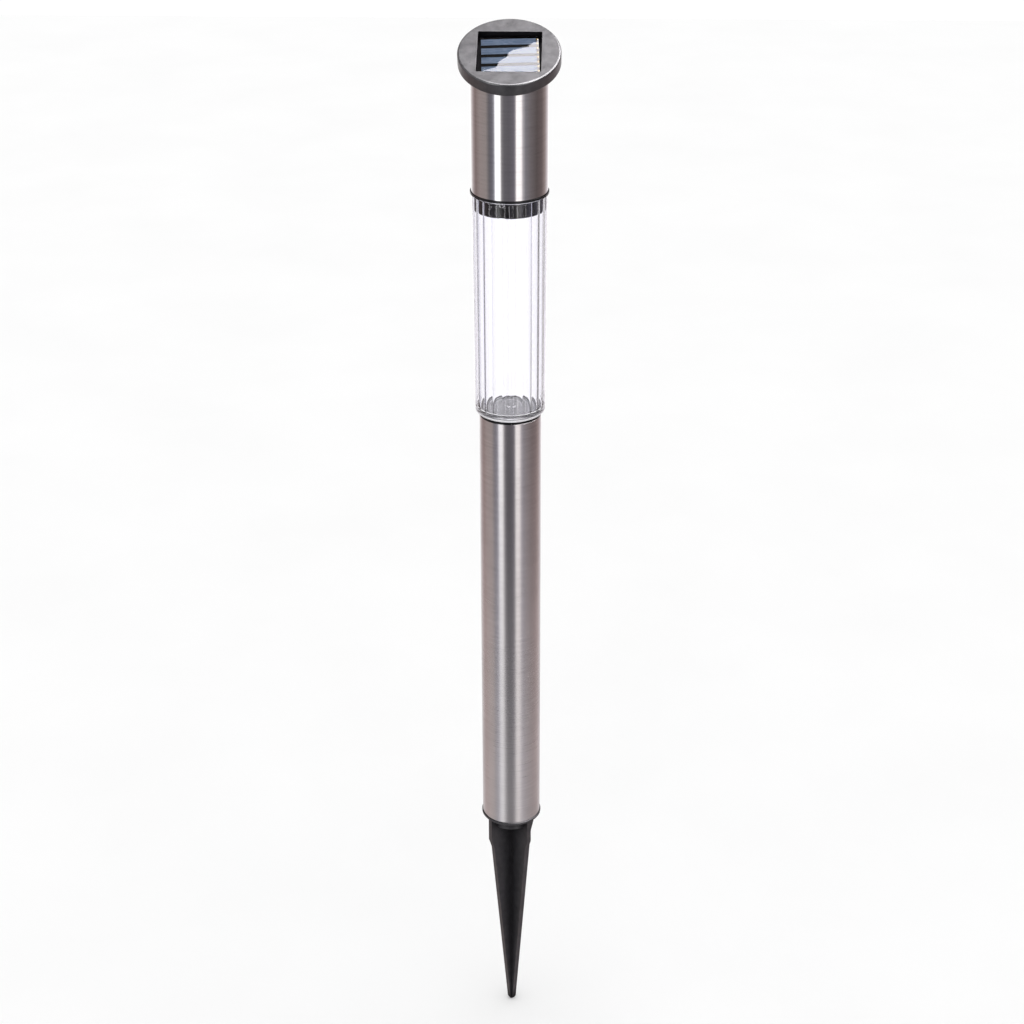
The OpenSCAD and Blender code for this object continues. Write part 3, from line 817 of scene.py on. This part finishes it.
def build_seal(rubber):
    """The seal ring in the lens rim's rebate, with rounded edges."""
    bottom, top = low("head_seal").z, high("head_seal").z
    outer = high("head_seal").x
    width, ease = 1.9 * MM, 0.35 * MM
    inner = outer - width
    profile = arc(inner + ease, bottom + ease, ease, 180, 270, 4)
    profile += arc(outer - ease, bottom + ease, ease, 270, 360, 4)
    profile += arc(outer - ease, top - ease, ease, 0, 90, 4)
    profile += arc(inner + ease, top - ease, ease, 90, 180, 4)
    seat(turned("seal_ring", profile, rubber, closed=True), "seal", "seal_rubber", "head_seal")


def build_battery(sleeve, metal):
    """A round cell: heat-shrunk sleeve, rolled shoulder, and a steel button at its upper end."""
    bottom, top = low("battery").z, high("battery").z
    radius = high("battery").x
    nub_r, nub_h = 2.75 * MM, 1.0 * MM
    shoulder = top - nub_h
    turn_in = 0.7 * MM
    lip_r, end_r = radius - 1.8 * MM, radius - 1.9 * MM
    base, cover = bottom + 0.1 * MM, shoulder - 0.15 * MM
    profile = [(0, base), (end_r, base), (lip_r, bottom)]
    profile += arc(radius - turn_in, bottom + turn_in, turn_in, -90, 0, 5)
    profile += arc(radius - turn_in, shoulder - turn_in, turn_in, 0, 90, 5)
    profile += [(lip_r, shoulder), (end_r, cover), (0, cover)]
    seat(turned("cell_sleeve", profile, sleeve), "head", "battery_sleeve", "battery")
    nub_foot, ease = shoulder - 0.4 * MM, 0.3 * MM
    nub = [(0, nub_foot), (nub_r, nub_foot)]
    nub += arc(nub_r - ease, top - ease, ease, 0, 90, 4) + [(0, top)]
    seat(turned("cell_button", nub, metal, count=64), "head", "tinned_metal")


def build_spring(metal):
    """Conical coil spring, with a flat turn at its foot."""
    bottom, top = low("battery_spring").z, high("battery_spring").z
    wire = 0.35 * MM
    wide, narrow, turns = 5.4 * MM, 2.8 * MM, 4
    steps = 28 * turns
    rise = top - bottom - 2 * wire - 0.1 * MM
    path = []
    for i in range(steps + 1):
        t = i / steps
        r = wide + (narrow - wide) * t
        a = 2 * math.pi * turns * t
        z = bottom + wire + rise * t
        path.append(Vector((r * math.cos(a), r * math.sin(a), z)))
    seat(sweep("cell_spring", path, wire, metal, 10), "head", "spring_steel", "battery_spring")


def build_wire(name, node, slot, insulation, copper):
    """Insulated wire with bare ends, bowed a little away from the axis."""
    bottom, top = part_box(node)
    centre = (bottom + top) / 2
    radius = (top.x - bottom.x) / 2
    out = Vector((centre.x, centre.y, 0)).normalized()
    bare = 0.9 * MM
    bow = 0.35 * MM
    start, end = bottom.z, top.z - radius * 0.6
    path = []
    for i in range(25):
        t = i / 24
        z = start + bare + (end - start - 2 * bare) * t
        path.append(Vector((centre.x, centre.y, z)) + out * bow * math.sin(math.pi * t) ** 2)
    seat(sweep(name, path, radius, insulation), "head", slot, node)
    for tag, z0, z1 in (("low", start, start + bare * 1.3), ("high", end - bare * 1.3, end)):
        ends = [Vector((centre.x, centre.y, z0)), Vector((centre.x, centre.y, z1))]
        seat(sweep(f"{name}_{tag}_end", ends, radius * 0.55, copper, 10), "head", "tinned_metal")


def build_led(clear, metal):
    """Round clear LED: dome, rim, and the reflector cup inside."""
    tip, base = low("led").z, high("led").z
    r, rim_r, rim_h = 2.5 * MM, 2.9 * MM, 1.0 * MM
    rim_z, ease = base - rim_h, 0.1 * MM
    profile = [(0, tip)] + arc(0, tip + r, r, -80, 0, 10)
    profile += [(r, rim_z), (rim_r - ease, rim_z), (rim_r, rim_z + ease), (rim_r, base), (0, base)]
    seat(turned("led_dome", profile, clear, count=96), "head", "led_clear", "led")
    cup_z, cup_r, post_z = base - 3.6 * MM, 1.15 * MM, base - 0.3 * MM
    dish_z, dish_r, lip_r = cup_z + 0.5 * MM, 0.45 * MM, 0.95 * MM
    cup = [(0, dish_z), (dish_r, dish_z), (lip_r, cup_z), (cup_r, cup_z), (cup_r, cup_z + 1.0 * MM)]
    cup += [(0.5 * MM, cup_z + 1.3 * MM), (0.3 * MM, post_z), (0, post_z)]
    seat(turned("led_cup", cup, metal, count=48), "head", "tinned_metal")


# ----------------------------------------------------------------------- stage

def build_stage():
    """A pale floor that the light stands on, hidden from reflections and clear parts."""
    floor_z = cad_box[0].z
    size = 3.0
    material, tree, shader = new_material("studio_floor")
    tone = spread(tree, grain(tree, 6.0, 3.0), 0.3, 0.7, 0.93, 0.95)
    base = add(tree, "ShaderNodeCombineColor", {0: tone, 1: tone, 2: tone}).outputs[0]
    drive(tree, shader, Base_Color=base, Roughness=0.7, Specular_IOR_Level=0.0)
    verts = [(x, y, floor_z) for x, y in ((-size, -size), (size, -size), (size, size), (-size, size))]
    floor = mesh_object("studio_floor", verts, [(0, 1, 2, 3)], material)
    floor.visible_glossy = False
    floor.visible_transmission = False


def scaled(tree, colour, scale):
    """A colour made lighter or darker, also past white."""
    return add(
        tree, "ShaderNodeVectorMath", {0: colour, "Scale": scale}, operation="SCALE"
    ).outputs[0]


def room_walls(tree, turn, gain, stops):
    """Light round the room. A stop is (degrees from the camera's side, light, at most the gain)."""
    node = add(tree, "ShaderNodeValToRGB", {0: turn})
    elements = node.color_ramp.elements
    for index, (degrees, light) in enumerate(stops):
        position = (degrees + 180) / 360
        element = elements[index] if index < 2 else elements.new(position)
        element.position = position
        element.color = rgb(*[level / gain for level in light])
    return scaled(tree, node.outputs[0], gain)


def near_ground(turn, light):
    """A wall's light near the ground: evened out, and a little darker straight in front."""
    in_front, front_share = 20, 0.8
    side_share, evening = 0.88, -0.68
    share = front_share if abs(turn) <= in_front else side_share * max(light) ** evening
    return [share * level for level in light]


def wall_lights():
    """Stops of the walls that reflections see: from the back, round by the left, to the back again."""
    back = (1.6, 1.6, 1.6)
    left_strip, right_strip = (2.1, 2.1, 2.1), (2.0, 1.95, 1.95)
    left_back = [(-160, (1.45, 1.42, 1.42)), (-148, (1.1, 1.05, 1.05)), (-132, (0.6, 0.5, 0.5))]
    left_wall = [(-118, (0.34, 0.26, 0.25)), (-96, (0.48, 0.40, 0.39)), (-72, (0.46, 0.40, 0.39))]
    left_corner = [(-60, (0.20, 0.19, 0.21)), (-50, (0.25, 0.24, 0.28)), (-43.5, (0.55, 0.55, 0.6))]
    left_light = [(-41, (2.1, 2.1, 2.2)), (-26, left_strip), (-22, (0.4, 0.38, 0.4))]
    front = [(-14, (0.21, 0.20, 0.22)), (0, (0.18, 0.17, 0.19)), (15, (0.24, 0.22, 0.26))]
    right_light = [(20, (0.6, 0.56, 0.6)), (22, right_strip), (37, (1.9, 1.8, 1.8))]
    right_corner = [(41, (0.8, 0.76, 0.8)), (50, (0.34, 0.32, 0.35)), (66, (0.25, 0.22, 0.23))]
    right_wall = [(90, (0.16, 0.13, 0.13)), (112, (0.22, 0.17, 0.17)), (130, (0.46, 0.37, 0.36))]
    right_back = [(148, (0.9, 0.82, 0.85)), (162, (1.25, 1.18, 1.2))]
    left = left_back + left_wall + left_corner + left_light
    right = right_light + right_corner + right_wall + right_back
    return [(-180, back)] + left + front + right + [(180, back)]


def glossy_room(tree, direction, turn, height):
    """What reflections see: dim walls, two tall strips, and one round softbox overhead."""
    gain = 2.5
    lights = wall_lights()
    walls = room_walls(tree, turn, gain, lights)
    low_walls = room_walls(tree, turn, gain, [(at, near_ground(at, light)) for at, light in lights])
    walls = mixed_colour(tree, spread(tree, height, -0.48, -0.38, 1.0, 0.0), walls, low_walls)
    overhead = spread(tree, height, 0.45, 0.7, 1.0, 0.12)
    walls = scaled(tree, walls, overhead)
    softbox_centre = Vector((0.458, -0.029, 0.888)).normalized()
    softbox_edge = math.cos(math.radians(39.75))
    softbox_level = 9.8
    near = add(
        tree, "ShaderNodeVectorMath", {0: direction, 1: softbox_centre}, operation="DOT_PRODUCT"
    ).outputs["Value"]
    inside = spread(tree, near, softbox_edge - 0.0005, softbox_edge + 0.0005, 0.0, 1.0)
    softbox = rgb(softbox_level, softbox_level * 0.97, softbox_level)
    return mixed_colour(tree, inside, walls, softbox)


def clear_room(tree, turn, height):
    """What is seen through the lens: white behind, and dim walls and strips near eye level elsewhere."""
    gain = 4.0
    white, lilac, dark = (1.13, 1.13, 1.15), (0.69, 0.69, 0.87), (0.18, 0.15, 0.17)
    dim, strip = (0.16, 0.15, 0.17), (4.0, 3.9, 4.0)
    walls = room_walls(tree, turn, gain, [
        (-180, white), (-150, white), (-136, lilac), (-122, lilac), (-116, dark), (-62, dark), (-43, dim),
        (-41, strip), (-27, strip), (-25, dim), (21, dim), (23, strip), (36, strip), (38, dim),
        (62, lilac), (114, lilac), (121, dark), (138, dark), (150, white), (180, white),
    ])
    above_ground = spread(tree, height, -0.52, -0.44, 0.0, 1.0)
    below_top = spread(tree, height, -0.2, -0.12, 1.0, 0.0)
    eye_level = maths(tree, "MULTIPLY", above_ground, below_top)
    return mixed_colour(tree, eye_level, rgb(*white), walls)


def build_world():
    """White room for sight and soft light. Reflections and clear parts see their own rooms."""
    world = bpy.data.worlds.new("studio")
    bpy.context.scene.world = world
    world.use_nodes = True
    tree = world.node_tree
    tree.nodes.clear()
    path = add(tree, "ShaderNodeLightPath")
    direction = add(tree, "ShaderNodeTexCoord").outputs["Generated"]
    xyz = add(tree, "ShaderNodeSeparateXYZ", {0: direction})
    ahead = maths(tree, "MULTIPLY", xyz.outputs[1], -1.0)
    angle = maths(tree, "ARCTAN2", xyz.outputs[0], ahead)
    turn = spread(tree, angle, -math.pi, math.pi, 0.0, 1.0)
    height = xyz.outputs[2]
    level = 1.05
    colour = rgb(level, level, level)
    reflected = glossy_room(tree, direction, turn, height)
    colour = mixed_colour(tree, path.outputs["Is Glossy Ray"], colour, reflected)
    seen_through = clear_room(tree, turn, height)
    colour = mixed_colour(tree, path.outputs["Is Transmission Ray"], colour, seen_through)
    background = add(tree, "ShaderNodeBackground", {"Color": colour, "Strength": 1.0})
    add(tree, "ShaderNodeOutputWorld", {"Surface": background.outputs[0]})


# ---------------------------------------------------------------------- camera

def build_camera():
    """Camera at the product picture's angle: long lens, looking down at the light's middle."""
    distance = 1.2885
    pitch = math.radians(26.5)
    azimuth = math.radians(2.05)
    aim = Vector((0, 0, 0.224))
    level_back = Vector((math.sin(azimuth), -math.cos(azimuth), 0))
    back = level_back * math.cos(pitch) + Vector((0, 0, math.sin(pitch)))
    data = bpy.data.cameras.new("camera")
    data.lens = 72.35
    data.sensor_width = 36
    data.clip_start, data.clip_end = 0.05, 20
    camera = bpy.data.objects.new("camera", data)
    bpy.context.scene.collection.objects.link(camera)
    camera.rotation_mode = "QUATERNION"
    side_shift = 0.94 * MM
    turn = (-back).to_track_quat("-Z", "Y")
    roll = Matrix.Rotation(math.radians(-0.14), 4, "Z").to_quaternion()
    camera.rotation_quaternion = turn @ roll
    side = turn @ Vector((1, 0, 0))
    camera.location = aim + back * distance + side * side_shift
    bpy.context.scene.camera = camera


# ------------------------------------------------------------------------ main

def dress_cad_nodes(black, metal):
    """CAD objects that keep their own shape: softened edges and a material each."""
    spike = black_plastic("spike_black", (0.028, 0.027, 0.030), 0.42)
    housing = black_plastic("housing_black", (0.006, 0.006, 0.007), 0.30, gloss=0.3)
    soften("ground_spike", 0.5 * MM)
    dress("ground_spike", spike)
    soften("lamp_housing", 0.22 * MM)
    dress("lamp_housing", housing)
    soften("lamp_plate", 0.2 * MM)
    dress("lamp_plate", housing)
    soften("plate_screws", 0.12 * MM)
    dress("plate_screws", plain_metal("screw_zinc", (0.62, 0.63, 0.66), 0.28))
    soften("circuit_board", 0.08 * MM)
    dress("circuit_board", solder_mask("board_green"))
    dress("led_legs", metal)
    soften("inductor", 0.3 * MM)
    dress("inductor", coloured_plastic("inductor_green", (0.10, 0.32, 0.20), 0.35))
    soften("driver_chip", 0.1 * MM)
    dress("driver_chip", coloured_plastic("chip_epoxy", (0.02, 0.02, 0.022), 0.55, 4000.0))
    soften("switch_body", 0.15 * MM)
    dress("switch_body", plain_metal("switch_plate", (0.6, 0.6, 0.62), 0.3))
    soften("switch_slider", 0.15 * MM)
    dress("switch_slider", black)
    soften("battery_contact", 0.08 * MM)
    dress("battery_contact", plain_metal("contact_nickel", (0.72, 0.70, 0.64), 0.25))
    soften("panel_backing", 0.1 * MM)
    dress("panel_backing", coloured_plastic("backing_board", (0.008, 0.007, 0.007), 0.5, gloss=0.02))
    dress("cell_strips", silicon("cell_blue"))
    dress("cell_fingers", plain_metal("finger_gold", (0.78, 0.58, 0.24), 0.3))


def main():
    """Light paths that clear parts need, then every piece, the stage, the room and the camera."""
    scene = bpy.context.scene
    scene.view_settings.view_transform = "Standard"
    scene.cycles.max_bounces = 24
    scene.cycles.transmission_bounces = 20
    scene.cycles.glossy_bounces = 6
    cap = cap_frame()
    panel = panel_frame(cap)
    metal = plain_metal("tinned_metal", (0.75, 0.75, 0.76), 0.25)
    rim_black = black_plastic("coupling_black", (0.006, 0.006, 0.007), 0.30, gloss=0.3)
    pole_foot = (0.02, 0.24)
    build_pole(brushed_steel("pole_steel", (0.55, 0.53, 0.53), 0.20, 0.9, pole_foot))
    build_head_tube(brushed_steel("head_steel", (0.57, 0.56, 0.56), 0.11, 0.3), cap)
    cap_black = black_plastic("cap_black", (0.019, 0.018, 0.021), 0.34, 0.03, gloss=0.6)
    # painted highlight: a paler, glossier copy of the cap's black for the upper rim
    cap_rim_highlight = black_plastic("cap_rim_painted_highlight", (0.08, 0.08, 0.085), 0.22, 0.01, gloss=1.0)
    build_cap(cap_black, cap_rim_highlight, cap)
    build_resin(clear_plastic("panel_resin", (0.99, 0.99, 1.0), 1.5, 0.012), panel)
    build_lens(clear_plastic("lens_clear", (0.985, 0.98, 1.0), 1.49, 0.006, high("pole_coupling").z))
    build_coupling(rim_black)
    build_seal(milky_silicone("seal_silicone"))
    build_led(clear_plastic("led_clear", (0.98, 0.98, 1.0), 1.53, 0.01), metal)
    build_battery(coloured_plastic("cell_sleeve", (0.06, 0.28, 0.10), 0.3), metal)
    build_spring(plain_metal("spring_steel", (0.7, 0.7, 0.73), 0.2))
    red = coloured_plastic("wire_red", (0.5, 0.03, 0.03), 0.4)
    build_wire("wire_cell", "battery_wire", "wire_red", red, metal)
    build_wire("wire_panel_red", "panel_wire_red", "wire_red", red, metal)
    black = coloured_plastic("wire_black", (0.02, 0.02, 0.02), 0.4)
    build_wire("wire_panel_black", "panel_wire_black", "wire_black", black, metal)
    dress_cad_nodes(rim_black, metal)
    build_stage()
    build_world()
    build_camera()


main()
